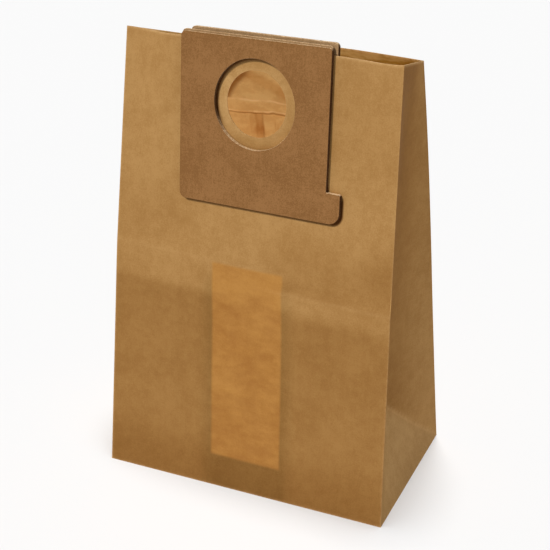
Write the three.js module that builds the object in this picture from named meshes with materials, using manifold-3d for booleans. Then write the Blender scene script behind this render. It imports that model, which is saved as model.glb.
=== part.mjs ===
// Vacuum dust bag: a block-bottom kraft paper bag, open at the top, with a card collar
// plate glued on each side of its front panel around the inlet hole.
// Millimetres, +Z up. The front panel faces -Y, and the origin is the centre of the base.
import * as THREE from "three";
import { mergeVertices } from "three/addons/utils/BufferGeometryUtils.js";
import Module from "manifold-3d";

const wasm = await Module();
wasm.setup();

// Paper
const paperWall = 0.6; // both plies of the paper
const baseThickness = 1.2; // glued flaps of the base
const lapStep = 0.4; // how far the glued lap stands proud of the back panel
const lapWidth = 9;
const lapX = -20; // where the lap runs up the back panel
const lapRamp = 0.8;

// Bag, with set-backs measured from the front edge of the base
const bagWidth = 200;
const bagDepth = 118.6;
const frontHeight = 300.9;
const frontFall = 1.8; // the mouth edge falls to the right
const frontLeftDrop = 5.2; // it dips at its folded left corner
const leftDropPower = 3.5; // the higher, the closer the dip stays to the corner
const frontRightRise = 2.6; // and rises at its open right corner
const rightRisePower = 14;
const backHeightRight = 295.6;
const backHeightLeft = 293.5;
const creaseHeightLeft = 158.5;
const creaseHeightRight = 145;
const creaseSetbackLeft = 27;
const creaseSetbackRight = 11;
const creaseRidge = 0.8; // how far the crease across the front stands out
const creaseStep = [0.45, 0.65]; // shares across between which it steps down to the right
const mouthSetbackLeft = 57.5;
const mouthSetbackRight = 25;
const mouthGapLeft = 4.5; // front panel to back panel where the mouth is folded shut
const mouthGapRight = 32;
const backBulge = 10; // the back panel bows out at the mouth
const backBulgeSkew = 1.2; // a power above 1 moves that bow to the right
const backBow = 3; // it also bows a little over its upper half

// Side gussets
const foldHeight = 55.5; // where the two diagonal folds of a side meet
const rightFoldDepth = 20; // how far that point is pushed in on the right
const rightMouthDepth = 1;
const rightFadePower = 1.3; // how fast the right gusset straightens upwards
const softRows = 4; // rows in which its fold turns into a soft curve
const foldTip = 1.6; // width of the blunt inner fold
const foldTipShare = 0.4; // at most this share of the side

// Collar plates
const plateWidth = 104.6;
const plateHeight = 108.2;
const plateThickness = 2.6;
const plateX = 1.4; // centre of the plates on the paper's outer face
const plateSetback = 32.491;
const plateDrop = 50.4; // from the front panel's height down to the plate centre
const plateZ = frontHeight - plateDrop;
const plateTurn = -0.0861; // slope of the plate towards the front, per millimetre to the right
const plateLean = 0.13; // slope of the plate towards the back, per millimetre up
const plateRoll = 0.0082; // radians in its own plane
const plateCorners = { topLeft: 3.2, topRight: 2.1, bottomLeft: 5.3 };
const tabWidth = 9.6;
const tabHeight = 19.4;
const tabCorner = 7.6;
const tabTopCorner = 1.1;
const tabRootCorner = 0.5; // where the tab meets the plate's right edge
const glueGap = 0.3; // between a plate and the paper
const collarHoleRadius = 28.4;
const inletRadius = 20.9; // the hole in the paper, which grips the inlet pipe
const holeX = 0.8; // hole centre from the plate centre
const holeZ = 12.6;

// The inner plate is a little narrower, sits higher and further right
const innerInsetLeft = 5.2;
const innerOverhangRight = 2.2;
const innerRise = 1.7;
const innerCorner = 2.6;

// Flat stretch of the paper that carries the plates
const flatMargin = 6;
const flatBlend = 26;

// Mesh steps
const panelColumns = 20;
const gussetColumns = 4; // on each half of a gusset
const rowsToFold = 4;
const rowsToCrease = 4;
const rowsToMouth = 9;
const rowCount = rowsToFold + rowsToCrease + rowsToMouth;
const arcSteps = 8;
const holeSteps = 64;
const weldDistance = 1e-4;
const mitreLimit = 1.5; // in paper thicknesses, past which a mitre is shortened
const mitreReach = 0.7; // and then keeps to this share of the shorter neighbour

const lerp = THREE.MathUtils.lerp;
const smoothstep = THREE.MathUtils.smoothstep;
const halfWidth = bagWidth / 2;
const halfDepth = bagDepth / 2;

// Height of row k as a share of the panel, at share u across it from left to right.
function rowShare(k, u) {
  const fold = foldHeight / frontHeight;
  const left = creaseHeightLeft / frontHeight;
  const right = creaseHeightRight / frontHeight;
  const crease = lerp(left, right, smoothstep(u, ...creaseStep));
  if (k <= rowsToFold) return (fold * k) / rowsToFold;
  const upper = k - rowsToFold;
  if (upper <= rowsToCrease) return lerp(fold, crease, upper / rowsToCrease);
  return lerp(crease, 1, (upper - rowsToCrease) / rowsToMouth);
}

// Set-back of a front corner edge, bent once at the crease.
function edgeSetback(share, creaseShare, atCrease, atMouth) {
  if (share < creaseShare) return (atCrease * share) / creaseShare;
  return lerp(atCrease, atMouth, (share - creaseShare) / (1 - creaseShare));
}

function plateFaceY(x, z) {
  return plateSetback + plateTurn * (x - plateX) + plateLean * (z - plateZ);
}

// 1 where the paper lies flat behind the plates, 0 at the corner edges and below the crease.
function flatShare(x, z) {
  const left = plateX - plateWidth / 2 - flatMargin;
  const tabTop = plateZ - plateHeight / 2 + tabHeight;
  const tab = tabWidth * (1 - smoothstep(z, tabTop, tabTop + flatBlend));
  const right = plateX + plateWidth / 2 + tab + flatMargin;
  const bottom = plateZ - plateHeight / 2 - flatMargin;
  const across = Math.min(smoothstep(x, -halfWidth, left), 1 - smoothstep(x, right, halfWidth));
  return across * smoothstep(z, bottom - flatBlend, bottom);
}

function frontPoint(k, u) {
  const share = rowShare(k, u);
  const x = lerp(-halfWidth, halfWidth, u);
  const corners = frontRightRise * u ** rightRisePower - frontLeftDrop * (1 - u) ** leftDropPower;
  const z = share * (frontHeight - frontFall * u + corners);
  const left = edgeSetback(share, creaseHeightLeft / frontHeight, creaseSetbackLeft, mouthSetbackLeft);
  const right = edgeSetback(share, creaseHeightRight / frontHeight, creaseSetbackRight, mouthSetbackRight);
  const ridge = k === rowsToFold + rowsToCrease ? creaseRidge * Math.sin(Math.PI * u) : 0;
  const loose = lerp(left, right, u) - ridge;
  return new THREE.Vector3(x, lerp(loose, plateFaceY(x, z), flatShare(x, z)), z);
}

function backPoint(k, u) {
  const share = lerp(rowShare(k, 0), rowShare(k, 1), u);
  const mouth = lerp(mouthSetbackLeft + mouthGapLeft, mouthSetbackRight + mouthGapRight, u);
  const bulge = backBulge * Math.sin(Math.PI * u ** backBulgeSkew) * share ** 2;
  const bow = backBow * Math.sin(Math.PI * share ** 2);
  const z = share * lerp(backHeightLeft, backHeightRight, u);
  return new THREE.Vector3(lerp(-halfWidth, halfWidth, u), lerp(bagDepth, mouth, share) + bulge + bow, z);
}

// How far the fold of a gusset lies inside the bag at row k, given the distance between its edges.
function foldDepth(k, side, chord) {
  if (side < 0) return Math.sqrt(Math.max(bagDepth ** 2 - chord ** 2, 0)) / 2;
  const above = Math.max(k - rowsToFold, 0) / (rowCount - rowsToFold);
  return lerp(rightFoldDepth, rightMouthDepth, above ** rightFadePower);
}

// Gusset points from the front edge to the back edge; side is -1 on the left and 1 on the right.
function gussetRow(k, side) {
  const u = (side + 1) / 2;
  const front = frontPoint(k, u);
  const back = backPoint(k, u);
  const foldRow = Math.max(k, rowsToFold);
  const foldChord = frontPoint(foldRow, u).distanceTo(backPoint(foldRow, u));
  const depth = foldDepth(k, side, foldChord);
  const tip = Math.min(foldTip / front.distanceTo(back), foldTipShare);
  const soft = side > 0 ? smoothstep(k, rowsToFold, rowsToFold + softRows) : 0;
  const points = [];
  for (let j = 0; j <= 2 * gussetColumns + 1; j++) {
    const half = (1 - tip) / 2;
    const w = j <= gussetColumns
      ? (half * j) / gussetColumns
      : 1 - (half * (2 * gussetColumns + 1 - j)) / gussetColumns;
    const vee = Math.min(w, 1 - w) / half;
    const inward = k < rowsToFold ? Math.min(vee, k / rowsToFold) : lerp(vee, Math.sin(Math.PI * w), soft);
    const point = front.clone().lerp(back, w);
    point.x -= side * depth * inward;
    points.push(point);
  }
  return points;
}

// Shares across the back panel, with close pairs where the lap steps.
function backShares() {
  const lapEdges = [-1, 1].flatMap((side) => {
    const edge = lapX + (side * lapWidth) / 2;
    return [edge, edge + side * lapRamp];
  });
  const shares = lapEdges.map((x) => x / bagWidth + 0.5);
  const low = Math.min(...shares);
  const high = Math.max(...shares);
  for (let i = 0; i <= panelColumns; i++) {
    const u = i / panelColumns;
    if (u < low - 0.01 || u > high + 0.01) shares.push(u);
  }
  return shares.sort((a, b) => b - a);
}

// One closed row of the bag's outer face, anticlockwise from above: front, right, back, left.
function bagRow(k) {
  const row = [];
  for (let i = 0; i < panelColumns; i++) row.push(frontPoint(k, i / panelColumns));
  row.push(...gussetRow(k, 1).slice(0, -1));
  row.push(...backShares().slice(0, -1).map((u) => backPoint(k, u)));
  row.push(...gussetRow(k, -1).reverse().slice(0, -1));
  return row;
}

// The same row moved inwards by the paper's thickness. Sharp folds are mitred, but not past
// their neighbours.
function innerRow(row) {
  return row.map((point, i) => {
    const before = row[(i + row.length - 1) % row.length];
    const after = row[(i + 1) % row.length];
    const along = [point.clone().sub(before).setZ(0), after.clone().sub(point).setZ(0)];
    const reach = mitreReach * Math.min(along[0].length(), along[1].length());
    const [a, b] = along.map((d) => new THREE.Vector3(-d.y, d.x, 0).normalize());
    const mitre = a.clone().add(b).multiplyScalar(paperWall / Math.max(1 + a.dot(b), 1e-6));
    if (mitre.length() > paperWall * mitreLimit) mitre.clampLength(0, Math.max(reach, paperWall));
    return point.clone().add(mitre);
  });
}

// The lap is a second layer on the outside of the back panel only, and ends at the fold of the base.
function addLap(row, k) {
  return row.map((point, i) => {
    const onBack = i >= backStart && i <= backEnd;
    const onLap = Math.abs(point.x - lapX) < lapWidth / 2 + 0.01;
    return k > 0 && onBack && onLap ? point.clone().setY(point.y + lapStep) : point;
  });
}

const backStart = panelColumns + 2 * gussetColumns + 1;
const backEnd = backStart + backShares().length - 1;

function bagShell() {
  const positions = [];
  const index = [];
  const put = (point) => {
    positions.push(point.x, point.y - halfDepth, point.z);
    return positions.length / 3 - 1;
  };
  const outer = [];
  const inner = [];
  for (let k = 0; k <= rowCount; k++) {
    const row = bagRow(k);
    outer.push(addLap(row, k).map(put));
    inner.push(innerRow(row).map((point) => put(k === 0 ? point.setZ(baseThickness) : point)));
  }
  const count = outer[0].length;
  // A quad is cut along the diagonal fold where it crosses one.
  const quad = (a, b, c, d, turned) => index.push(...(turned ? [a, b, d, b, c, d] : [a, b, c, a, c, d]));
  const fallingFold = (i) => {
    const onRightBack = i > panelColumns + gussetColumns && i < backStart;
    const onLeftFront = i > backEnd + gussetColumns;
    return onRightBack || onLeftFront;
  };
  for (let i = 0; i < count; i++) {
    const next = (i + 1) % count;
    const turned = fallingFold(i);
    for (let k = 0; k < rowCount; k++) {
      quad(outer[k][i], outer[k][next], outer[k + 1][next], outer[k + 1][i], turned);
      quad(inner[k][next], inner[k][i], inner[k + 1][i], inner[k + 1][next], !turned);
    }
    quad(outer[rowCount][i], outer[rowCount][next], inner[rowCount][next], inner[rowCount][i], false);
  }
  const under = put(new THREE.Vector3(0, halfDepth, 0));
  const floor = put(new THREE.Vector3(0, halfDepth, baseThickness));
  for (let i = 0; i < count; i++) {
    const next = (i + 1) % count;
    index.push(under, outer[0][next], outer[0][i]);
    index.push(floor, inner[0][i], inner[0][next]);
  }
  const geometry = new THREE.BufferGeometry();
  geometry.setAttribute("position", new THREE.Float32BufferAttribute(positions, 3));
  geometry.setIndex(index);
  return geometry;
}

function toSolid(geometry) {
  const bare = geometry.clone().deleteAttribute("normal").deleteAttribute("uv");
  const merged = mergeVertices(bare, weldDistance);
  return new wasm.Manifold(new wasm.Mesh({
    numProp: 3,
    vertProperties: merged.attributes.position.array,
    triVerts: new Uint32Array(merged.index.array),
  }));
}

function toGeometry(solid) {
  const mesh = solid.getMesh();
  const geometry = new THREE.BufferGeometry();
  geometry.setAttribute("position", new THREE.BufferAttribute(mesh.vertProperties, 3));
  geometry.setIndex(new THREE.BufferAttribute(mesh.triVerts, 1));
  geometry.computeVertexNormals();
  return geometry;
}

// Frame of the collar on the paper's outer face: X to the right, Y up the plate, Z out of the bag.
function collarFrame() {
  const out = new THREE.Vector3(plateTurn, -1, plateLean).normalize();
  const up = new THREE.Vector3(0, plateLean, 1).normalize();
  const right = up.clone().cross(out).normalize();
  up.copy(out).cross(right);
  const frame = new THREE.Matrix4().makeBasis(right, up, out);
  frame.multiply(new THREE.Matrix4().makeRotationZ(plateRoll));
  return frame.setPosition(plateX, plateSetback - halfDepth, plateZ);
}

// Outline of corner points, each rounded by its own radius.
function roundedOutline(corners) {
  const shape = new THREE.Shape();
  corners.forEach(([x, y, radius], i) => {
    const [bx, by] = corners[(i + corners.length - 1) % corners.length];
    const [ax, ay] = corners[(i + 1) % corners.length];
    const corner = new THREE.Vector2(x, y);
    const back = new THREE.Vector2(bx - x, by - y).setLength(radius).add(corner);
    const ahead = new THREE.Vector2(ax - x, ay - y).setLength(radius).add(corner);
    if (i === 0) shape.moveTo(back.x, back.y);
    else shape.lineTo(back.x, back.y);
    shape.quadraticCurveTo(x, y, ahead.x, ahead.y);
  });
  return shape.closePath();
}

function plateGeometry(outline, lowZ) {
  const shape = new THREE.Shape(outline.getPoints(arcSteps));
  const rim = new THREE.EllipseCurve(holeX, holeZ, collarHoleRadius, collarHoleRadius, 0, 2 * Math.PI, true);
  shape.holes.push(new THREE.Path(rim.getPoints(holeSteps).slice(0, -1)));
  const geometry = new THREE.ExtrudeGeometry(shape, { depth: plateThickness, bevelEnabled: false });
  return geometry.translate(0, 0, lowZ);
}

function outerPlateOutline() {
  const right = plateWidth / 2;
  const top = plateHeight / 2;
  const tabTop = tabHeight - top;
  return roundedOutline([
    [-right, -top, plateCorners.bottomLeft],
    [right + tabWidth, -top, tabCorner],
    [right + tabWidth, tabTop, tabTopCorner],
    [right, tabTop, tabRootCorner],
    [right, top, plateCorners.topRight],
    [-right, top, plateCorners.topLeft],
  ]);
}

function innerPlateOutline() {
  const left = innerInsetLeft - plateWidth / 2;
  const right = plateWidth / 2 + innerOverhangRight;
  const bottom = innerRise - plateHeight / 2;
  const top = innerRise + plateHeight / 2;
  return roundedOutline([
    [left, bottom, innerCorner],
    [right, bottom, innerCorner],
    [right, top, innerCorner],
    [left, top, innerCorner],
  ]);
}

function inletCutter(frame) {
  const length = 20;
  const cutter = new THREE.CylinderGeometry(inletRadius, inletRadius, length, holeSteps);
  return toSolid(cutter.rotateX(Math.PI / 2).translate(holeX, holeZ, 0).applyMatrix4(frame));
}

const kraftPaper = new THREE.MeshStandardMaterial({ color: "#b0895a", roughness: 0.86, metalness: 0 });
const greyBoard = new THREE.MeshStandardMaterial({ color: "#94704a", roughness: 0.9, metalness: 0 });

function named(name, geometry, material) {
  const mesh = new THREE.Mesh(geometry, material);
  mesh.name = name;
  return mesh;
}

const frame = collarFrame();
const collar = new THREE.Group();
collar.applyMatrix4(frame);
const innerPlateZ = -paperWall - glueGap - plateThickness;
collar.add(
  named("front_collar_plate", plateGeometry(outerPlateOutline(), glueGap), greyBoard),
  named("inner_collar_plate", plateGeometry(innerPlateOutline(), innerPlateZ), greyBoard),
);

const bag = toSolid(bagShell()).subtract(inletCutter(frame));

const dustBag = new THREE.Group();
dustBag.add(named("paper_bag", toGeometry(bag), kraftPaper), collar);

export default dustBag;
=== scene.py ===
import math
import bmesh
import bpy
from mathutils import Euler, Matrix, Vector, noise


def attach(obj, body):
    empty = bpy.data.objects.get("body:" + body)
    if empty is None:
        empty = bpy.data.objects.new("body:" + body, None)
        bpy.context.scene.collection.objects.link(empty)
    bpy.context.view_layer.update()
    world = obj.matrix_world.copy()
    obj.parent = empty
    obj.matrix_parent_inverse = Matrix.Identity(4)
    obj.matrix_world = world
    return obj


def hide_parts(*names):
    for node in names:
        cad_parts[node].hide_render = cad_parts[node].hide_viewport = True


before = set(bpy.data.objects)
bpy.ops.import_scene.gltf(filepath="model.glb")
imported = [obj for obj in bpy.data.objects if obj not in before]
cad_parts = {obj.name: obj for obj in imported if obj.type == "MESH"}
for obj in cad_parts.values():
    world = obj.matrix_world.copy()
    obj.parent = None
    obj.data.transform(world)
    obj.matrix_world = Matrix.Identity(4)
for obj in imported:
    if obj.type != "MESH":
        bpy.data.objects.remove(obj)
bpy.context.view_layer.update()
print("frame loaded")

mm = 0.001


def lerp(a, b, t):
    return a + (b - a) * t


def clamp(t):
    return min(max(t, 0.0), 1.0)


def smoothStep(start, end, t):
    t = clamp((t - start) / (end - start))
    return t * t * (3 - 2 * t)


def bump(distance, width):
    return math.exp(-(distance / width) ** 2)


def paint(red, green, blue):
    # A screen colour, 0 to 255, as the linear colour that a shader takes.
    linear = [c / 12.92 if c <= 0.04045 else ((c + 0.055) / 1.055) ** 2.4
              for c in (red / 255, green / 255, blue / 255)]
    return (*linear, 1.0)


# Camera, floor and light.

camera = {
    "lens": 91.6,
    "sensorWidth": 36,
    "clipStart": 0.02,
    "place": (0.35023, -0.76412, 0.54320),
    "yaw": 24.54,  # degrees
    "pitch": 25.90,
    "roll": 0.856,
}

cameraData = bpy.data.cameras.new("camera")
cameraData.lens = camera["lens"]
cameraData.sensor_width = camera["sensorWidth"]
cameraData.clip_start = camera["clipStart"]
cameraObject = bpy.data.objects.new("camera", cameraData)
turn = Euler((math.radians(90 - camera["pitch"]), 0, math.radians(camera["yaw"])))
cameraObject.matrix_world = (
    Matrix.Translation(camera["place"])
    @ turn.to_matrix().to_4x4()
    @ Matrix.Rotation(-math.radians(camera["roll"]), 4, "Z")
)
bpy.context.scene.collection.objects.link(cameraObject)
bpy.context.scene.camera = cameraObject

studio = {
    "keyStrength": 2.52,
    "keyFrom": (-0.37, -0.63, 0.69),  # direction that the key light comes from
    "keySoftness": 9,  # degrees
    "fillStrength": 0.66,  # reaches the right side only
    "fillFrom": (0.95, -0.02, 0.36),
    "fillSoftness": 24,
    "rearStrength": 1.2,
    "rearFrom": (-0.6, 0.75, 0.35),
    "rearSoftness": 30,
    "topStrength": 3.65,  # overhead light on the table
    "topFrom": (0, 0.06, 1),
    "topSoftness": 18,
    "skyStrength": 0.11,  # overhead and on the key's side; the other side is dim
    "skyDim": 0.03,
    "skyTowards": (-0.45, -0.15, 0.88),
    "floorColor": (214, 214, 214),
    "floorRoughness": 0.9,
    "floorGlow": 0.12,  # the table is a light panel
    "floorHalf": 6.0,  # metres
}


def addNode(tree, kind, values=None, **settings):
    node = tree.nodes.new(kind)
    for name, value in settings.items():
        setattr(node, name, value)
    for name, value in (values or {}).items():
        node.inputs[name].default_value = value
    return node


def plainMaterial(name, color, roughness):
    material = bpy.data.materials.new(name)
    material.use_nodes = True
    shader = material.node_tree.nodes["Principled BSDF"]
    shader.inputs["Base Color"].default_value = color
    shader.inputs["Roughness"].default_value = roughness
    return material


def meshObject(name, mesh, body=None):
    made = bpy.data.objects.new(name, mesh)
    bpy.context.scene.collection.objects.link(made)
    if body:
        bagLit.objects.link(made)
        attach(made, body)
    return made


floorMesh = bpy.data.meshes.new("floor")
bm = bmesh.new()
bmesh.ops.create_grid(bm, x_segments=1, y_segments=1, size=studio["floorHalf"])
bm.to_mesh(floorMesh)
bm.free()
floor = meshObject("floor", floorMesh)
floorMaterial = plainMaterial("studioFloor", paint(*studio["floorColor"]), studio["floorRoughness"])
floor.data.materials.append(floorMaterial)
floorShader = floorMaterial.node_tree.nodes["Principled BSDF"]
floorShader.inputs["Specular IOR Level"].default_value = 0.0
floorShader.inputs["Emission Color"].default_value = (1, 1, 1, 1)
floorShader.inputs["Emission Strength"].default_value = studio["floorGlow"]


def sunLight(name, strength, softness, direction, receivers):
    data = bpy.data.lights.new(name, "SUN")
    data.energy = strength
    data.angle = math.radians(softness)
    lamp = bpy.data.objects.new(name, data)
    lamp.rotation_euler = Vector(direction).to_track_quat("Z", "Y").to_euler()
    lamp.light_linking.receiver_collection = receivers
    bpy.context.scene.collection.objects.link(lamp)


# The key lights the bag only, and the table has its own light from above.
bagLit = bpy.data.collections.new("lit_by_key")
tableLit = bpy.data.collections.new("lit_from_above")
tableLit.objects.link(floor)
sunLight("key", studio["keyStrength"], studio["keySoftness"], studio["keyFrom"], bagLit)
sunLight("fill", studio["fillStrength"], studio["fillSoftness"], studio["fillFrom"], bagLit)
sunLight("rear", studio["rearStrength"], studio["rearSoftness"], studio["rearFrom"], bagLit)
sunLight("top", studio["topStrength"], studio["topSoftness"], studio["topFrom"], tableLit)

world = bpy.data.worlds.new("studio")
world.use_nodes = True
world.node_tree.nodes["Background"].inputs["Color"].default_value = (1, 1, 1, 1)
sky = world.node_tree
skyPlace = addNode(sky, "ShaderNodeTexCoord").outputs["Generated"]
towards = addNode(sky, "ShaderNodeVectorMath", operation="DOT_PRODUCT")
towards.inputs[1].default_value = studio["skyTowards"]
sky.links.new(skyPlace, towards.inputs[0])
dim = addNode(sky, "ShaderNodeMapRange", {
    "From Min": -0.5, "From Max": 1.0, "To Min": studio["skyDim"], "To Max": studio["skyStrength"],
})
sky.links.new(towards.outputs["Value"], dim.inputs["Value"])
sky.links.new(dim.outputs["Result"], sky.nodes["Background"].inputs["Strength"])
bpy.context.scene.world = world
bpy.context.scene.view_settings.view_transform = "Standard"
print("studio ready")


# The bag's sizes, the finishes of paper and card, and the light and shade painted on them.

bag = {
    "wall": 0.45,
    "width": 200,
    "depth": 118.6,
    "frontHeight": 300.9,
    "frontFall": 1.8,
    "frontLeftDrop": 5.2,
    "leftDropPower": 3.5,
    "frontRightRise": 2.6,
    "backHeightRight": 294.4,
    "backHeightLeft": 291.2,
    "flareRight": 1.9,  # the base spreads a little at its front right corner
    "flareFront": 2.2,
    "creaseLeft": 158.5,
    "creaseRight": 145,
    "creaseSetbackLeft": 27,
    "creaseSetbackRight": 11,
    "creaseRidge": 0.8,
    "mouthSetbackLeft": 57.5,
    "mouthSetbackRight": 25,
    "mouthGapLeft": 4.5,
    "mouthGapRight": 35,
    "backBulge": 10,
    "backBow": 3,
    "foldHeight": 55.5,
    "rightFoldDepth": 20,
    "rightMouthDepth": 0,
    "foldTip": 1.6,
    "foldReach": 0.4933,  # share of a side from its edge to the tip of its fold
    "roomyChord": 112,  # a side folded less than this leaves room for the whole wall
    "lapX": -20,
    "lapWidth": 9,
    "lapStep": 0.4,
    "backFoldLow": 240.0,  # the cross fold of the back panel
    "backFoldHigh": 249.2,
    "flapEdge": 22,  # the edges of the base's flaps, from its middle line
    "flapStep": 0.3,
    "step": 2.7,  # mesh step across the panels
    "sideStep": 3.0,
    "foldRows": 4,  # row numbers of the folds, as in the model's own rows
    "creaseRow": 8,
    "mouthRow": 17,
}
halfWidth, halfDepth = bag["width"] / 2, bag["depth"] / 2

kraft = {
    "dark": (162, 119, 66),
    "light": (178, 136, 82),
    "worn": (214, 172, 118),  # along folds and creases
    "stripSideShade": (226, 226, 218),  # painted shade: greyer beside the strip where light comes through
    # painted light: the strip of the front where light comes through from inside the bag
    "litStripDark": (156, 98, 36),
    "litStripLight": (186, 130, 60),
    "plateShade": (136, 106, 68),  # painted shadow on the paper close beside the front plate
    # painted light: the inside is lighter and glows, standing in for light coming through the paper
    "inside": (226, 194, 130),
    "insideGlow": 0.45,
    "mouthShade": (171, 149, 89),  # painted shade on the inside close to the mouth
    "lessLightThrough": (228, 206, 182),  # tints of painted shade: where two layers hold back the light, and other darker marks
    # painted shadow and painted highlight lines of the inside folds
    "foldShadow": (170, 134, 92),
    "foldLight": (246, 216, 164),
    "cutEdge": (228, 194, 146),
    "windowTop": 157.5,  # millimetres, on the front panel
    "windowBottom": 23,
    "windowLeft": -25,
    "windowRight": 25.4,
    "windowSlant": 0.0217,
    "roughness": 0.82,
}


def mathNode(tree, operation, first, second=None, third=None, clampIt=False):
    node = addNode(tree, "ShaderNodeMath", operation=operation, use_clamp=clampIt)
    for i, value in enumerate((first, second, third)):
        if value is None:
            continue
        if isinstance(value, (int, float)):
            node.inputs[i].default_value = value
        else:
            tree.links.new(value, node.inputs[i])
    return node.outputs[0]


def rampNode(tree, value, start, end, low=0.0, high=1.0):
    node = addNode(tree, "ShaderNodeMapRange", interpolation_type="SMOOTHSTEP")
    tree.links.new(value, node.inputs["Value"])
    for name, number in (("From Min", start), ("From Max", end), ("To Min", low), ("To Max", high)):
        node.inputs[name].default_value = number
    return node.outputs["Result"]


def placeRamp(tree, value, start, end, low=0.0, high=1.0):
    # A ramp between two places on the bag, in millimetres.
    return rampNode(tree, value, start * mm, end * mm, low, high)


def product(tree, first, *others):
    for other in others:
        first = mathNode(tree, "MULTIPLY", first, other)
    return first


def blendNode(tree, share, first, second, mode="MIX"):
    node = addNode(tree, "ShaderNodeMix", data_type="RGBA", blend_type=mode)
    for socket, value in ((0, share), (6, first), (7, second)):
        if isinstance(value, (tuple, int, float)):
            node.inputs[socket].default_value = value
        else:
            tree.links.new(value, node.inputs[socket])
    return node.outputs[2]


def tintNode(tree, share, color, tint):
    return blendNode(tree, share, color, blendNode(tree, 1.0, color, paint(*tint), "MULTIPLY"))


def noiseNode(tree, coordinates, scale, detail=3.0, roughness=0.55, stretch=(1, 1, 1)):
    mapping = addNode(tree, "ShaderNodeMapping", {"Scale": stretch})
    tree.links.new(coordinates, mapping.inputs["Vector"])
    node = addNode(tree, "ShaderNodeTexNoise", {"Scale": scale, "Detail": detail, "Roughness": roughness})
    tree.links.new(mapping.outputs[0], node.inputs["Vector"])
    return node.outputs["Fac"]


def fibreTone(tree, coordinates, cloudScale, streak, blotch, fine):
    # Clouds, mottling, fibres both ways and fine grain, about 0.5 on average.
    cloud = noiseNode(tree, coordinates, cloudScale, 3, 0.5)
    mottle = noiseNode(tree, coordinates, cloudScale * 5, 5, 0.66)
    upright = noiseNode(tree, coordinates, streak, 3, 0.6, (1, 1, 0.14))
    level = noiseNode(tree, coordinates, streak, 3, 0.6, (0.2, 0.2, 1))
    grain = noiseNode(tree, coordinates, streak * 2.2, 2, 0.7)
    weights = (0.30, 0.40 * blotch, 0.08 * fine, 0.06 * fine, 0.26 * fine)
    tone = mathNode(tree, "MULTIPLY", cloud, weights[0])
    for part, weight in zip((mottle, upright, level, grain), weights[1:]):
        tone = mathNode(tree, "MULTIPLY_ADD", part, weight, tone)
    tone = mathNode(tree, "ADD", tone, 0.5 - sum(weights) / 2)
    return tone, mathNode(tree, "ADD", mathNode(tree, "ADD", upright, level), grain)


def finishShader(tree, color, roughness, relief, depth, strength=0.5):
    shader = tree.nodes["Principled BSDF"]
    tree.links.new(color, shader.inputs["Base Color"])
    tree.links.new(roughness, shader.inputs["Roughness"])
    bumpNode = addNode(tree, "ShaderNodeBump", {"Strength": strength, "Distance": depth})
    tree.links.new(relief, bumpNode.inputs["Height"])
    tree.links.new(bumpNode.outputs[0], shader.inputs["Normal"])
    shader.inputs["Specular IOR Level"].default_value = 0.1
    return shader


def lineNode(tree, value, place, half, soft):
    # 1 on a line, fading over soft; all in millimetres.
    away = mathNode(tree, "ABSOLUTE", mathNode(tree, "SUBTRACT", value, place * mm))
    return placeRamp(tree, away, half + soft, half)


# The cross fold and the lap on the inside of the back panel, as painted light and shade: darker where layers
# hold back the light behind them, with painted shadow lines and painted highlights.
def backFold(tree, color, coordinates, x, y, z):
    foldLow, foldHigh = bag["backFoldLow"], bag["backFoldHigh"]
    back = product(tree, placeRamp(tree, y, 1, 3), placeRamp(tree, z, 190, 200))
    below = placeRamp(tree, z, foldLow + 0.2, foldLow - 0.8)
    above = placeRamp(tree, z, foldHigh, foldHigh + 1)
    wobble = noiseNode(tree, coordinates, 60, 2, 0.5)
    height = mathNode(tree, "MULTIPLY_ADD", mathNode(tree, "SUBTRACT", wobble, 0.5), 5 * mm, z)
    foldLine = lineNode(tree, height, foldLow, 0.2, 0.7)
    lapEdge = bag["lapX"] + bag["lapWidth"] / 2
    lap = product(tree, lineNode(tree, x, bag["lapX"], bag["lapWidth"] / 2, 0.5), below)
    lapRim = product(tree, lineNode(tree, x, lapEdge - 3, 1.5, 2), below)
    lapSide = product(tree, lineNode(tree, x, lapEdge, 0.2, 1.1), below)
    # Painted light and shade: a light streak slants down above the fold, with a darker band over it.
    diagonal = mathNode(tree, "MULTIPLY_ADD", x, 0.45, z)
    streak = product(tree, lineNode(tree, diagonal, 251, 0.5, 3.6), above)
    shade = product(tree, placeRamp(tree, diagonal, 251, 255), above, placeRamp(tree, diagonal, 263.5, 259))
    # Painted shade in the upper left of what the inlet hole shows.
    aside = mathNode(tree, "SUBTRACT", -12 * mm, x)
    upward = mathNode(tree, "SUBTRACT", z, 242 * mm)
    corner = placeRamp(tree, mathNode(tree, "MULTIPLY_ADD", upward, 0.5, aside), 21, 28)
    corner = product(tree, corner, above, placeRamp(tree, lengthNode(tree, aside, upward), 23.5, 27.5))
    blotch = rampNode(tree, noiseNode(tree, coordinates, 95, 4, 0.62, (1, 1, 1.4)), 0.42, 0.6)
    pucker = rampNode(tree, noiseNode(tree, coordinates, 170, 2, 0.5, (1, 0.3, 0.3)), 0.5, 0.68)
    pucker = product(tree, pucker, lineNode(tree, z, 232, 2, 11))
    for share, tint, amount in (
        (blotch, kraft["lessLightThrough"], 0.4),
        (lap, kraft["lessLightThrough"], 0.3),
        (lapRim, kraft["lessLightThrough"], 0.5),
        (shade, kraft["lessLightThrough"], 0.68),
        (streak, kraft["lessLightThrough"], 0.2),
        (pucker, kraft["lessLightThrough"], 0.8),
        (lapSide, kraft["foldShadow"], 0.3),
        (foldLine, kraft["foldShadow"], 0.62),
        (corner, kraft["foldShadow"], 0.85),
    ):
        color = tintNode(tree, product(tree, share, back, amount), color, tint)
    # Painted highlights along the fold's upper and lower edges.
    upper = lineNode(tree, height, foldHigh, 0.2, 0.9)
    lower = lineNode(tree, height, foldLow + 1.3, 0.15, 0.8)
    patchy = rampNode(tree, noiseNode(tree, coordinates, 90, 2, 0.5), 0.38, 0.62, 0.05, 0.4)
    bright = product(tree, mathNode(tree, "ADD", upper, lower), back, patchy)
    return blendNode(tree, bright, color, paint(*kraft["foldLight"]))
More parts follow.
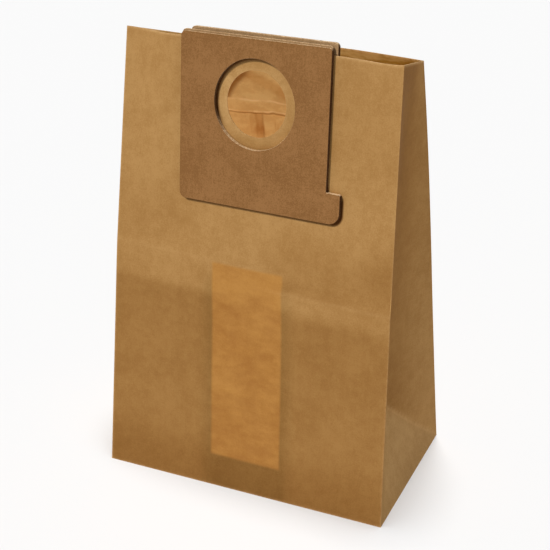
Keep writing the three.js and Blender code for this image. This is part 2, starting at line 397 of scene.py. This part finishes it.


# Painted shade: darker streaks on the inside close to the mouth, more of them to the right.
def mouthShade(tree, color, coordinates, x, z):
    streaks = noiseNode(tree, coordinates, 150, 3, 0.6, (0.3, 1, 1.5))
    streaks = rampNode(tree, streaks, 0.36, 0.64, 0.5, 0.9)
    streaks = mathNode(tree, "ADD", streaks, placeRamp(tree, x, 40, 90, 0, 0.2), clampIt=True)
    streaks = product(tree, streaks, placeRamp(tree, z, 273, 286))
    return tintNode(tree, streaks, color, kraft["mouthShade"])


def dotNode(tree, vector, axis):
    node = addNode(tree, "ShaderNodeVectorMath", operation="DOT_PRODUCT")
    node.inputs[1].default_value = axis
    tree.links.new(vector, node.inputs[0])
    return node.outputs["Value"]


def lengthNode(tree, first, second):
    square = mathNode(tree, "MULTIPLY", first, first)
    return mathNode(tree, "SQRT", mathNode(tree, "MULTIPLY_ADD", second, second, square))


# Painted shadow on the paper close beside the front plate: in the upper left of its hole, under its lower
# edge.
def plateShade(tree, color, coordinates, front):
    plate = collarMatrix()
    across, upward = [
        mathNode(tree, "SUBTRACT", dotNode(tree, coordinates, axis), axis.dot(plate.translation) * mm)
        for axis in (plate.col[0].xyz, plate.col[1].xyz)
    ]
    holeX = mathNode(tree, "SUBTRACT", across, collar["holeX"] * mm)
    holeY = mathNode(tree, "SUBTRACT", upward, collar["holeZ"] * mm)
    away = lengthNode(tree, holeX, holeY)
    rim = collar["holeRadius"]
    ring = product(tree, placeRamp(tree, away, rim - 2.6, rim), placeRamp(tree, away, rim + 5.6, rim + 1.6))
    slant = mathNode(tree, "SUBTRACT", holeY, holeX)
    ring = product(tree, ring, placeRamp(tree, slant, 2, 22))
    # Distance from the plate's outline, with its corners rounded by this much.
    cornerRound = 6
    centreX, halfX = collar["tabWidth"] / 2, (collar["width"] + collar["tabWidth"]) / 2
    outX = mathNode(tree, "ABSOLUTE", mathNode(tree, "SUBTRACT", across, centreX * mm))
    outX = mathNode(tree, "SUBTRACT", outX, (halfX - cornerRound) * mm)
    outY = mathNode(tree, "ABSOLUTE", upward)
    outY = mathNode(tree, "SUBTRACT", outY, (collar["height"] / 2 - cornerRound) * mm)
    out = lengthNode(tree, mathNode(tree, "MAXIMUM", outX, 0.0), mathNode(tree, "MAXIMUM", outY, 0.0))
    under = placeRamp(tree, out, cornerRound + 2.4, cornerRound + 0.4)
    under = product(tree, under, placeRamp(tree, upward, -36, -40), placeRamp(tree, across, -54.5, -48))
    share = product(tree, mathNode(tree, "ADD", ring, under, clampIt=True), front)
    return tintNode(tree, share, color, kraft["plateShade"])


def between(tree, value, start, end, soft):
    # 1 between two places, in millimetres, fading over soft on either side.
    rise = placeRamp(tree, value, start - soft, start + soft)
    fall = placeRamp(tree, value, end - soft, end + soft, 1, 0)
    return product(tree, rise, fall)


# Painted light and shade from the tone attribute; where it darkens the paper it also warms it: blue falls
# twice as fast as red.
def applyPaintedShading(tree, color):
    tone = addNode(tree, "ShaderNodeAttribute", attribute_name="tone").outputs["Fac"]
    tint = addNode(tree, "ShaderNodeCombineColor")
    for channel, power in (("Red", 1.0), ("Green", 1.35), ("Blue", 2.0)):
        tree.links.new(mathNode(tree, "POWER", tone, power), tint.inputs[channel])
    return blendNode(tree, 1.0, color, tint.outputs[0], "MULTIPLY")


# Below the cross crease the front is two layers. One strip of it is painted light, where light comes through
# from inside; beside it the paper gets painted shade.
def frontZones(tree, color, spread, coordinates, x, z):
    front = addNode(tree, "ShaderNodeAttribute", attribute_name="front").outputs["Fac"]
    top, bottom = kraft["windowTop"], kraft["windowBottom"]
    shift = kraft["windowSlant"] * top
    left, right = kraft["windowLeft"] + shift, kraft["windowRight"] + shift
    slanted = mathNode(tree, "MULTIPLY_ADD", z, kraft["windowSlant"], x)
    low = product(tree, placeRamp(tree, z, top + 2, top - 22), front)
    # Painted shade: the two-layer paper beside the lit strip is greyer.
    stripSideShade = product(tree, between(tree, slanted, left - 6, right + 6, 6), low, 0.7)
    color = tintNode(tree, stripSideShade, color, kraft["stripSideShade"])
    color = plateShade(tree, color, coordinates, front)
    clouds = noiseNode(tree, coordinates, 110, 4, 0.6, (0.6, 1, 1.2))
    clouds = mathNode(tree, "ADD", clouds, placeRamp(tree, z, 131, 142, -0.06, 0.16))
    clouds = mathNode(tree, "ADD", clouds, placeRamp(tree, z, 20, 80, -0.1, 0))
    patches = rampNode(tree, mathNode(tree, "MULTIPLY_ADD", spread, 0.12, clouds), 0.16, 0.9)
    # Painted light: the colours of the strip where light comes through the paper.
    lit = blendNode(tree, patches, paint(*kraft["litStripDark"]), paint(*kraft["litStripLight"]))
    plain = blendNode(tree, spread, paint(*kraft["dark"]), paint(*kraft["light"]))
    lit = blendNode(tree, 0.3, lit, plain)
    across = between(tree, slanted, left, right, 1.2)
    upright = between(tree, z, bottom, top, 1.4)
    return blendNode(tree, product(tree, across, upright, front), color, lit)


def kraftMaterial(name, side):
    material = bpy.data.materials.new(name)
    material.use_nodes = True
    tree = material.node_tree
    coordinates = addNode(tree, "ShaderNodeTexCoord").outputs["Object"]
    tone, relief = fibreTone(tree, coordinates, 26, 520, 0.9, 1.5)
    spread = rampNode(tree, tone, 0.36, 0.64)
    color = blendNode(tree, spread, paint(*kraft["dark"]), paint(*kraft["light"]))
    place = addNode(tree, "ShaderNodeSeparateXYZ")
    tree.links.new(coordinates, place.inputs[0])
    x, y, z = place.outputs
    if side == "outside":
        color = frontZones(tree, applyPaintedShading(tree, color), spread, coordinates, x, z)
    if side == "inside":
        # Painted light: the inside paper is lighter, as if lit through the paper.
        color = blendNode(tree, 0.62, color, paint(*kraft["inside"]))
        color = backFold(tree, color, coordinates, x, y, z)
        color = mouthShade(tree, color, coordinates, x, z)
    if side == "edge":
        color = blendNode(tree, 0.75, color, paint(*kraft["cutEdge"]))
    wear = addNode(tree, "ShaderNodeAttribute", attribute_name="wear").outputs["Fac"]
    patchy = rampNode(tree, noiseNode(tree, coordinates, 420, 3, 0.6), 0.3, 0.66, 0.35, 1.0)
    color = blendNode(tree, product(tree, wear, patchy, 0.75), color, paint(*kraft["worn"]))
    roughness = rampNode(tree, tone, 0.3, 0.7, kraft["roughness"] - 0.07, kraft["roughness"] + 0.08)
    shader = finishShader(tree, color, roughness, relief, 0.00016, 0.45)
    if side == "inside":
        # Painted light: the inside glows in its own colour, standing in for light coming through the paper.
        # The glow fades near the mouth.
        dimmed = blendNode(tree, 1.0, color, (0.25, 0.25, 0.25, 1), "MULTIPLY")
        lit = blendNode(tree, placeRamp(tree, z, 262, 284), color, dimmed)
        tree.links.new(lit, shader.inputs["Emission Color"])
        shader.inputs["Emission Strength"].default_value = kraft["insideGlow"]
    return material


card = {
    "dark": (132, 91, 50),
    "light": (150, 107, 64),
    "innerDark": (160, 126, 86),
    "innerLight": (184, 148, 108),
    "edgeShade": (84, 56, 31),  # painted shade on cut edges that face sideways or down
    "edgeDark": (196, 156, 112),
    "edgeLight": (255, 226, 182),
    "roughness": 0.86,
}


def cardMaterial(name, dark, light, edge):
    material = bpy.data.materials.new(name)
    material.use_nodes = True
    tree = material.node_tree
    coordinates = addNode(tree, "ShaderNodeTexCoord").outputs["Object"]
    tone, relief = fibreTone(tree, coordinates, 48, 560, 0.4, 2.2)
    spread = rampNode(tree, tone, 0.41, 0.59)
    color = blendNode(tree, spread, paint(*dark), paint(*light))
    if edge:
        layers = noiseNode(tree, coordinates, 900, 2, 0.7, (0.2, 1, 1))
        layers = rampNode(tree, layers, 0.35, 0.7, 0, 0.35)
        color = blendNode(tree, layers, color, paint(*card["edgeDark"]))
        # Painted light and shade: cut edges facing up keep their lit colour, those facing sideways or down
        # take the painted shade.
        upward = addNode(tree, "ShaderNodeAttribute", attribute_name="upward").outputs["Fac"]
        color = blendNode(tree, upward, paint(*card["edgeShade"]), color)
    roughness = rampNode(tree, tone, 0.3, 0.7, card["roughness"] - 0.06, card["roughness"] + 0.06)
    finishShader(tree, color, roughness, relief, 0.00012, 0.5)
    return material


print("materials ready")


# Where the collar plates sit, which also shapes the paper behind them.

collar = {
    "width": 104.6,
    "height": 108.2,
    "thickness": 2.6,
    "x": 1.4,
    "setback": 32.491,
    "z": 250.5,
    "turn": -0.0861,
    "lean": 0.13,
    "roll": 0.0082,
    "tabWidth": 9.6,
    "tabHeight": 19.4,
    "glueGap": 0.3,
    "paper": 0.6,  # room that the model keeps for the paper between the plates
    "holeRadius": 28.4,
    "inletRadius": 20.9,
    "holeX": 0.8,
    "holeZ": 12.6,
    "insetLeft": 5.2,
    "overhangRight": 2.2,
    "rise": 1.7,
    "flatMargin": 6,
    "flatBlend": 26,
    "plyBevel": 0.10,
    "frontDrop": 1.1,  # the front ply ends this much lower at the top
    "glueLine": 0.16,
    "glueInset": 0.4,
}


# Share of the panel's height at a row number, at share u across from left to right.
def rowShare(k, u):
    fold = bag["foldHeight"] / bag["frontHeight"]
    left = bag["creaseLeft"] / bag["frontHeight"]
    right = bag["creaseRight"] / bag["frontHeight"]
    crease = lerp(left, right, smoothStep(0.45, 0.65, u))
    if k <= bag["foldRows"]:
        return fold * k / bag["foldRows"]
    if k <= bag["creaseRow"]:
        return lerp(fold, crease, (k - bag["foldRows"]) / (bag["creaseRow"] - bag["foldRows"]))
    return lerp(crease, 1, (k - bag["creaseRow"]) / (bag["mouthRow"] - bag["creaseRow"]))


def edgeSetback(share, creaseShare, atCrease, atMouth):
    if share < creaseShare:
        return atCrease * share / creaseShare
    return lerp(atCrease, atMouth, (share - creaseShare) / (1 - creaseShare))


def plateFaceY(x, z):
    return collar["setback"] + collar["turn"] * (x - collar["x"]) + collar["lean"] * (z - collar["z"])


# 1 where the paper lies flat behind the plates.
def flatShare(x, z):
    left = collar["x"] - collar["width"] / 2 - collar["flatMargin"]
    tabTop = collar["z"] - collar["height"] / 2 + collar["tabHeight"]
    tab = collar["tabWidth"] * (1 - smoothStep(tabTop, tabTop + collar["flatBlend"], z))
    right = collar["x"] + collar["width"] / 2 + tab + collar["flatMargin"]
    bottom = collar["z"] - collar["height"] / 2 - collar["flatMargin"]
    across = min(smoothStep(-halfWidth, left, x), 1 - smoothStep(right, halfWidth, x))
    return across * smoothStep(bottom - collar["flatBlend"], bottom, z)


def frontPoint(k, u):
    share = rowShare(k, u)
    x = lerp(-halfWidth, halfWidth, u)
    corners = bag["frontRightRise"] * u ** 14 - bag["frontLeftDrop"] * (1 - u) ** bag["leftDropPower"]
    z = share * (bag["frontHeight"] - bag["frontFall"] * u + corners)
    left = edgeSetback(share, bag["creaseLeft"] / bag["frontHeight"],
                       bag["creaseSetbackLeft"], bag["mouthSetbackLeft"])
    right = edgeSetback(share, bag["creaseRight"] / bag["frontHeight"],
                        bag["creaseSetbackRight"], bag["mouthSetbackRight"])
    ridge = bag["creaseRidge"] * max(0, 1 - abs(k - bag["creaseRow"])) * math.sin(math.pi * u)
    y = lerp(lerp(left, right, u) - ridge, plateFaceY(x, z), flatShare(x, z))
    spread = (1 - share) ** 1.5
    x += bag["flareRight"] * spread * smoothStep(0.5, 1, u)
    y -= bag["flareFront"] * spread * lerp(-0.25, 1, u)
    return Vector((x, y - halfDepth, z))


def backPoint(k, u):
    share = lerp(rowShare(k, 0), rowShare(k, 1), u)
    leftMouth = bag["mouthSetbackLeft"] + bag["mouthGapLeft"]
    mouth = lerp(leftMouth, bag["mouthSetbackRight"] + bag["mouthGapRight"], u)
    bulge = bag["backBulge"] * math.sin(math.pi * u ** 1.2) * share ** 2
    bow = bag["backBow"] * math.sin(math.pi * share ** 2)
    y = lerp(bag["depth"], mouth, share) + bulge + bow
    height = lerp(bag["backHeightLeft"], bag["backHeightRight"], u)
    return Vector((lerp(-halfWidth, halfWidth, u), y - halfDepth, share * height))


def foldDepth(k, side, chord):
    if side < 0:
        return math.sqrt(max(bag["depth"] ** 2 - chord ** 2, 0)) / 2
    above = max(k - bag["foldRows"], 0) / (bag["mouthRow"] - bag["foldRows"])
    return lerp(bag["rightFoldDepth"], bag["rightMouthDepth"], above ** 1.3)


# w runs across a side from its front edge to its back edge; side is -1 on the left and 1 on the right.
def gussetPoint(k, side, w):
    u = (side + 1) / 2
    front, back = frontPoint(k, u), backPoint(k, u)
    foldRow = max(k, bag["foldRows"])
    chord = (frontPoint(foldRow, u) - backPoint(foldRow, u)).length
    tip = min(bag["foldTip"] / (front - back).length, 0.4)
    vee = min(min(w, 1 - w) / ((1 - tip) / 2), 1)
    soft = smoothStep(bag["foldRows"], bag["foldRows"] + 4, k) if side > 0 else 0
    if k < bag["foldRows"]:
        inward = min(vee, k / bag["foldRows"])
    else:
        inward = lerp(vee, math.sin(math.pi * w), soft)
    point = front.lerp(back, w)
    point.x -= side * foldDepth(k, side, chord) * inward
    return point


# Shares from 0 to 1 along a length, close together beside both ends.
def stations(length, step, near=(0.5, 1.2, 2.3)):
    count = round((length - 2 * near[-1]) / step)
    middle = [lerp(near[-1], length - near[-1], i / count) for i in range(count + 1)]
    places = [0, *near[:-1], *middle, *[length - d for d in reversed(near[:-1])], length]
    return [place / length for place in places]


lapEdges = [bag["lapX"] + side * (bag["lapWidth"] / 2 + extra) for side in (-1, 1) for extra in (0, 0.6)]
acrossShares = sorted(
    [u for u in stations(bag["width"], bag["step"])
     if min(abs(u * bag["width"] - halfWidth - edge) for edge in lapEdges) > 0.9]
    + [(edge + halfWidth) / bag["width"] for edge in lapEdges]
)
halfShares = [w * bag["foldReach"] for w in stations(halfDepth, bag["sideStep"])]
sideShares = halfShares + [1 - w for w in reversed(halfShares)]
foldZone = [w / halfShares[-1] * bag["foldRows"] for w in halfShares]
# Bands of rows above the folds: start, end and how many steps between them.
rowBands = [
    (4, 7.3, 34), (7.3, 8, 14), (8, 8.8, 11), (8.8, 12.9, 30),
    (12.9, 14.2, 18), (14.2, 16.8, 19), (16.8, 17, 4),
]
rows = foldZone[:-1] + [lerp(a, b, i / n) for a, b, n in rowBands for i in range(n)] + [bag["mouthRow"]]
columns = (
    [("front", u) for u in acrossShares[:-1]]
    + [("right", w) for w in sideShares[:-1]]
    + [("back", 1 - u) for u in acrossShares[:-1]]
    + [("left", 1 - w) for w in sideShares]
)
acrossCount, sideCount = len(acrossShares) - 1, len(sideShares) - 1


def panelPoint(panel, share, k):
    if panel == "front":
        return frontPoint(k, share)
    if panel == "back":
        point = backPoint(k, share)
        if abs(point.x - bag["lapX"]) < bag["lapWidth"] / 2 + 0.1:
            point.y += bag["lapStep"] * min(k, 1)
        return point
    return gussetPoint(k, 1 if panel == "right" else -1, share)


# Painted light and shade on the paper: 1 on the plain front, less where there are two layers or shade, more
# on the side's lower triangle.
def paintedPaperShading(panel, share, k, p):
    if panel == "right":
        # Painted light: the lower triangle of the side is lighter, as light from the table falls on it;
        # above it, painted shade, darker higher up and near the front fold.
        upper = smoothStep(-0.15, 0.15, k / bag["foldRows"] - 1 + 2 * abs(share - 0.5))
        plain = lerp(0.95, 0.81, smoothStep(60, 270, p.z))
        return lerp(1.22, plain * lerp(0.8, 1.08, smoothStep(0.5, 0.95, share)), upper)
    if panel != "front":
        return 1.0
    right = smoothStep(5, 30, p.x)
    # Painted shade where two layers of paper lie below the cross crease, darker towards the bottom.
    low = 1 - smoothStep(lerp(132, 128, right), lerp(140, 141, right), p.z)
    lowTone = 0.79 + 0.03 * bump(p.z - 62, 28) - 0.12 * (1 - smoothStep(12, 45, p.z))
    upperTone = 1.02 - 0.07 * bump(p.z - 185, 22) * (1 - smoothStep(-70, -25, p.x))
    upperTone -= 0.05 * (1 - right) * (1 - smoothStep(150, 158, p.z))
    # Painted shade for the dip above the crease on the right, and painted light and shade for the swell and
    # the shade over it.
    upperTone -= right * (0.12 * bump(p.z - 165, 18) + 0.09 * bump(p.z - 151, 5) * bump(p.x - 42, 36))
    upperTone += right * (0.04 * bump(p.z - 206, 16) - 0.06 * bump(p.z - 256, 26))
    upperTone -= 0.12 * bump(p.z - 168, 26) * smoothStep(70, 96, p.x)
    # Painted light and shade across the ring of paper in the front plate's hole.
    ringX, ringZ = (p.x - 2.1) / 25, (p.z - 263) / 25
    ring = 0.02 + 0.09 * ringX ** 2 - 0.025 * ringX + 0.05 * ringZ - 0.02 * ringZ ** 2
    upperTone += ring * (1 - smoothStep(1.16, 1.24, math.hypot(ringX, ringZ)))
    return lerp(upperTone, lowTone, low)


# How far the paper stands proud of its plain shape, in millimetres, how worn it is there, and its painted
# light and shade.
def paperRelief(panel, share, k, p):
    length = bag["width"] if panel in ("front", "back") else bag["depth"]
    fromFold = min(share, 1 - share) * length
    lift = 0.55 * noise.noise(p / 46 + Vector((3.1, 0, 7.7)))
    lift += 0.20 * noise.noise(p / 17 + Vector((9, 4, 1))) + 0.07 * noise.noise(p / 6.5)
    lift *= lerp(0.1, 1, smoothStep(0, 13, fromFold)) * smoothStep(0, 9, p.z)
    atRight = panel == "right" or (panel == "front" and share > 0.5)
    wear = (0.35 if atRight else 0.8) * bump(fromFold, 0.8) + 0.5 * bump(p.z, 0.9)
    if panel == "left":
        lift *= 0.15
    if panel == "front":
        # The cross crease: a ridge with a shelf below it on the left, a dip and a swell on the right.
        left, right = 1 - smoothStep(-4, 24, p.x), smoothStep(4, 30, p.x)
        edge = 0.3 + 0.7 * smoothStep(0, 10, fromFold)
        shelf = 0.9 * smoothStep(159, 139, p.z) * smoothStep(112, 137, p.z)
        lift += left * edge * (0.3 * bump(p.z - 158.2, 1.8) + shelf)
        dip = -0.8 * smoothStep(172, 152, p.z) * smoothStep(146.5, 151.5, p.z)
        swell = 0.75 * smoothStep(151.5, 146.5, p.z) * smoothStep(110, 145, p.z)
        lift += right * edge * (dip + swell)
        # A small pinch in the left fold, low down.
        lift += 0.35 * bump(p.z - 45.5, 1.3) * bump(fromFold, 6) * (p.x < 0)
        wear += 0.07 * left * bump(p.z - 158.4, 1.1) + 0.15 * right * bump(p.z - 146.4, 1.3)
        lift *= 1 - flatShare(p.x, p.z)
    if panel == "back":
        foldLow, foldHigh = bag["backFoldLow"], bag["backFoldHigh"]
        fold = smoothStep(foldLow - 0.8, foldLow + 0.8, p.z) * smoothStep(262, 249, p.z)
        puckers = noise.noise(Vector((p.x / 5.5, 2, p.z / 16))) * bump(p.z - 233, 9)
        inward = 0.9 * fold + 0.35 * bump(p.z - foldHigh - 0.2, 1.2) - 0.5 * puckers
        lift -= inward * smoothStep(0, 30, fromFold)
        wear += 0.35 * bump(p.z - foldHigh - 0.2, 1.0)
    if panel in ("left", "right") and k < bag["foldRows"] + 0.5:
        vee = min(share, 1 - share) / bag["foldReach"]
        wear += 0.4 * bump((vee - k / bag["foldRows"]) * halfDepth, 0.9)
    wear += 1.0 * bump(bag["mouthRow"] - k, 0.055)
    return lift, min(wear, 1), paintedPaperShading(panel, share, k, p)


# Share of the paper's thickness that has room beside the folds on the left, which are pressed flat.
def wallShare(panel, share, k):
    if panel == "right":
        return 1.0
    fromFold = min(share, 1 - share) * bag["depth"] if panel == "left" else share * bag["width"]
    chord = (frontPoint(max(k, bag["foldRows"]), 0) - backPoint(max(k, bag["foldRows"]), 0)).length
    if chord >= bag["roomyChord"]:
        return 1.0
    room = fromFold * chord / bag["depth"]
    return max(0.04, min(1, room / (2.2 * bag["wall"])))


# The four panels as one sheet, bent round; its vertices by column and row.
def bendSheet(bm, layers):
    bmesh.ops.create_grid(bm, x_segments=len(columns) - 1, y_segments=len(rows) - 1, size=0.5)
    grid = {}
    for v in bm.verts:
        grid[round((v.co.x + 0.5) * (len(columns) - 1)), round((v.co.y + 0.5) * (len(rows) - 1))] = v
    for (i, j), v in grid.items():
        v.co = panelPoint(*columns[i], rows[j])
    bm.normal_update()
    shifts = {}
    for (i, j), v in grid.items():
        lift, wear, tone = paperRelief(*columns[i], rows[j], v.co)
        atSeam = i in (0, len(columns) - 1)
        shifts[v] = Vector() if atSeam else v.normal * lift
        v[layers["wear"]] = wear
        v[layers["tone"]] = tone
        v[layers["front"]] = columns[i][0] == "front"
        v[layers["wall"]][0] = wallShare(*columns[i], rows[j])
    for v, shift in shifts.items():
        v.co += shift
    return grid


# The corner folds get a small radius.
def softenFolds(grid):
    last = len(columns) - 1
    for i in (0, acrossCount, acrossCount + sideCount, 2 * acrossCount + sideCount, last):
        for j in range(1, len(rows)):
            before = grid[i - 1 if i else last - 1, j].co
            after = grid[i + 1 if i < last else 1, j].co
            grid[i, j].co = grid[i, j].co.lerp((before + after) / 2, 0.45)


# The diagonal folds of the sides run along the quads' corners.
def creaseSides(bm, grid):
    for start in (acrossCount, 2 * acrossCount + sideCount):
        for n in range(len(halfShares) - 1):
            rise = (grid[start + n, n], grid[start + n + 1, n + 1])
            fall = (grid[start + sideCount - n, n], grid[start + sideCount - 1 - n, n + 1])
            for pair in (rise, fall):
                bmesh.ops.connect_verts(bm, verts=pair)


# A square of the grid gives way to the round edge of the inlet hole.
def cutInlet(bm, layers, grid):
    centre = collarMatrix() @ Vector((collar["holeX"], collar["holeZ"], 0))
    inHole = [place for place, v in grid.items()
              if columns[place[0]][0] == "front" and (v.co - centre).length < collar["inletRadius"] + 1.5]
    iLow, iHigh = min(i for i, j in inHole), max(i for i, j in inHole)
    jLow, jHigh = min(j for i, j in inHole), max(j for i, j in inHole)
    hole = [grid[i, j] for i in range(iLow, iHigh + 1) for j in range(jLow, jHigh + 1)]
    nearby = {grid[i, j] for i in range(iLow - 1, iHigh + 2) for j in range(jLow - 1, jHigh + 2)} - set(hole)
    bmesh.ops.delete(bm, geom=hole, context="VERTS")
    border = [e for e in bm.edges if e.is_boundary and e.verts[0] in nearby and e.verts[1] in nearby]
    drawn = bmesh.ops.extrude_edge_only(bm, edges=border)["geom"]
    for v in [v for v in drawn if isinstance(v, bmesh.types.BMVert)]:
        outwards = (v.co - centre).normalized()
        v.co = centre + outwards * collar["inletRadius"]
        v[layers["wear"]] = 0.25


# The base, a flat sheet with the edges of its folded flaps.
def addBase(bm, layers):
    old = set(bm.verts)
    bmesh.ops.create_grid(bm, x_segments=acrossCount, y_segments=sideCount, size=0.5)
    for v in [v for v in bm.verts if v not in old]:
        u = acrossShares[round((v.co.x + 0.5) * acrossCount)]
        w = sideShares[round((v.co.y + 0.5) * sideCount)]
        v.co = frontPoint(0, u).lerp(backPoint(0, u), w)
        fromEdge = min(min(u, 1 - u) * bag["width"], min(w, 1 - w) * bag["depth"])
        flap = abs(v.co.y) - bag["flapEdge"]
        v.co.z += bag["flapStep"] * smoothStep(0, 2, flap) * smoothStep(0, 6, fromEdge)
        v[layers["wear"]] = 0.3 * bump(flap, 1.5)
        v[layers["tone"]] = 1
        v[layers["wall"]][0] = 1


def buildBag():
    bm = bmesh.new()
    layers = {name: bm.verts.layers.float.new(name) for name in ("wear", "front", "tone")}
    layers["wall"] = bm.verts.layers.deform.verify()
    grid = bendSheet(bm, layers)
    softenFolds(grid)
    creaseSides(bm, grid)
    cutInlet(bm, layers, grid)
    addBase(bm, layers)
    bmesh.ops.remove_doubles(bm, verts=bm.verts, dist=0.002)
    bmesh.ops.recalc_face_normals(bm, faces=bm.faces)
    onFront = Vector((-80, -50, 60))
    frontFace = min(bm.faces, key=lambda f: (f.calc_center_median() - onFront).length)
    if frontFace.normal.y > 0:
        bmesh.ops.reverse_faces(bm, faces=bm.faces)
    for face in bm.faces:
        face.smooth = True
    bmesh.ops.scale(bm, vec=(mm, mm, mm), verts=bm.verts)
    mesh = bpy.data.meshes.new("bag_paper")
    bm.to_mesh(mesh)
    bm.free()
    return mesh


# Frame of the collar on the paper's outer face: X to the right, Y up the plate, Z out of the bag.
def collarMatrix():
    out = Vector((collar["turn"], -1, collar["lean"])).normalized()
    up = Vector((0, collar["lean"], 1)).normalized()
    right = up.cross(out).normalized()
    up = out.cross(right)
    turned = Matrix((right, up, out)).transposed().to_4x4() @ Matrix.Rotation(collar["roll"], 4, "Z")
    return Matrix.Translation((collar["x"], collar["setback"] - halfDepth, collar["z"])) @ turned


def applyModifiers(made):
    graph = bpy.context.evaluated_depsgraph_get()
    finished = bpy.data.meshes.new_from_object(made.evaluated_get(graph))
    made.modifiers.clear()
    made.data = finished


paperBag = meshObject("bag_paper", buildBag(), "root")
for side in ("outside", "inside", "edge"):
    paperBag.data.materials.append(kraftMaterial(f"kraft_{side}", side))
wall = paperBag.modifiers.new("wall", "SOLIDIFY")
paperBag.vertex_groups.new(name="wall")
wall.vertex_group = "wall"
wall.thickness = bag["wall"] * mm
wall.offset = -1
wall.material_offset = 1
wall.material_offset_rim = 2
applyModifiers(paperBag)
paperBag.data.set_sharp_from_angle(angle=math.radians(62))
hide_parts("paper_bag")
print("paper bag made:", len(paperBag.data.polygons), "faces")


# One board ply between two heights above the paper, with rounded corners and soft edges.
def addPly(bm, corners, low, high, front, inset=0):
    old = set(bm.verts)
    bottom = min(y for x, y, radius in corners)
    outline = [bm.verts.new((x - math.copysign(inset, x), y + (inset if y == bottom else -inset), low))
               for x, y, radius in corners]
    bm.faces.new(outline)
    for v, (x, y, radius) in zip(outline, corners):
        bmesh.ops.bevel(bm, geom=[v], offset=radius, offset_type="OFFSET", segments=8, profile=0.5,
                        affect="VERTICES", material=-1)
    bmesh.ops.delete(bm, geom=[f for f in bm.faces if f.verts[0] not in old], context="FACES_ONLY")
    bmesh.ops.create_circle(bm, segments=96, radius=collar["holeRadius"] + inset,
                            matrix=Matrix.Translation((collar["holeX"], collar["holeZ"], low)))
    edges = [e for e in bm.edges if e.verts[0] not in old]
    made = bmesh.ops.triangle_fill(bm, edges=edges, use_beauty=True, normal=(0, 0, 1))["geom"]
    faces = [f for f in made if isinstance(f, bmesh.types.BMFace)]
    top = bmesh.ops.extrude_face_region(bm, geom=faces, use_keep_orig=True)["geom"]
    topVerts = [v for v in top if isinstance(v, bmesh.types.BMVert)]
    bmesh.ops.translate(bm, vec=(0, 0, high - low), verts=topVerts)
    solid = [f for f in bm.faces if f.verts[0] not in old]
    bmesh.ops.recalc_face_normals(bm, faces=solid)
    for face in solid:
        face.material_index = 1 if abs(face.normal.z) < 0.3 else front
    if inset:
        return
    rim = [e for e in bm.edges if e.verts[0] not in old and e.calc_face_angle(0) > 1
           and abs(e.verts[0].co.z - e.verts[1].co.z) < 1e-6]
    rounded = bmesh.ops.bevel(bm, geom=rim, offset=collar["plyBevel"], offset_type="OFFSET", segments=2,
                              profile=0.5, affect="EDGES", clamp_overlap=False, material=-1)["faces"]
    for face in rounded:
        face.material_index = 1


# Two plies with a glue line between them; the front one ends a little lower at the top.
def buildPlate(name, corners, low, frontDrop):
    bm = bmesh.new()
    upwardLayer = bm.verts.layers.float.new("upward")
    middle, half = low + collar["thickness"] / 2, collar["glueLine"] / 2
    front = [(x, y - frontDrop * (y > 0), radius) for x, y, radius in corners]
    addPly(bm, corners, low, middle - half, 2)
    addPly(bm, front, middle - half, middle + half, 1, collar["glueInset"])
    addPly(bm, front, middle + half, low + collar["thickness"], 0)
    bm.normal_update()
    # How far each edge faces up, for the painted light and shade of the cut edges.
    for v in bm.verts:
        sideways = math.hypot(v.normal.x, v.normal.y)
        v[upwardLayer] = smoothStep(0.2, 0.8, v.normal.y / sideways) if sideways > 0.2 else 0.5
    for face in bm.faces:
        face.smooth = abs(face.normal.z) < 0.999
    bmesh.ops.transform(bm, matrix=Matrix.Scale(mm, 4) @ collarMatrix(), verts=bm.verts)
    mesh = bpy.data.meshes.new(name)
    bm.to_mesh(mesh)
    bm.free()
    return mesh


# The plates' corners: place across, place up, radius.
halfPlate, topPlate = collar["width"] / 2, collar["height"] / 2
frontCorners = [
    (-halfPlate, -topPlate, 4.4),
    (halfPlate + collar["tabWidth"], -topPlate, 7.6),
    (halfPlate + collar["tabWidth"], collar["tabHeight"] - topPlate, 1.1),
    (halfPlate, collar["tabHeight"] - topPlate, 0.5),
    (halfPlate, topPlate, 2.1),
    (-halfPlate, topPlate, 3.2),
]
innerCorners = [
    (collar["insetLeft"] - halfPlate, collar["rise"] - topPlate, 2.6),
    (halfPlate + collar["overhangRight"], collar["rise"] - topPlate, 2.6),
    (halfPlate + collar["overhangRight"], collar["rise"] + topPlate, 2.6),
    (collar["insetLeft"] - halfPlate, collar["rise"] + topPlate, 2.6),
]
cardFace = cardMaterial("card_face", card["dark"], card["light"], False)
cardEdge = cardMaterial("card_edge", card["edgeDark"], card["edgeLight"], True)
innerFace = cardMaterial("card_inner_face", card["innerDark"], card["innerLight"], False)
innerLow = -collar["paper"] - collar["glueGap"] - collar["thickness"]
plates = (
    ("collar_front", frontCorners, collar["glueGap"], collar["frontDrop"], cardFace, "front_collar_plate"),
    ("collar_inner", innerCorners, innerLow, 0, innerFace, "inner_collar_plate"),
)
for name, corners, low, step, face, node in plates:
    plate = meshObject(name, buildPlate(name, corners, low, step), "root")
    for plateMaterial in (face, cardEdge, innerFace):
        plate.data.materials.append(plateMaterial)
    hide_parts(node)
print("collar plates made")
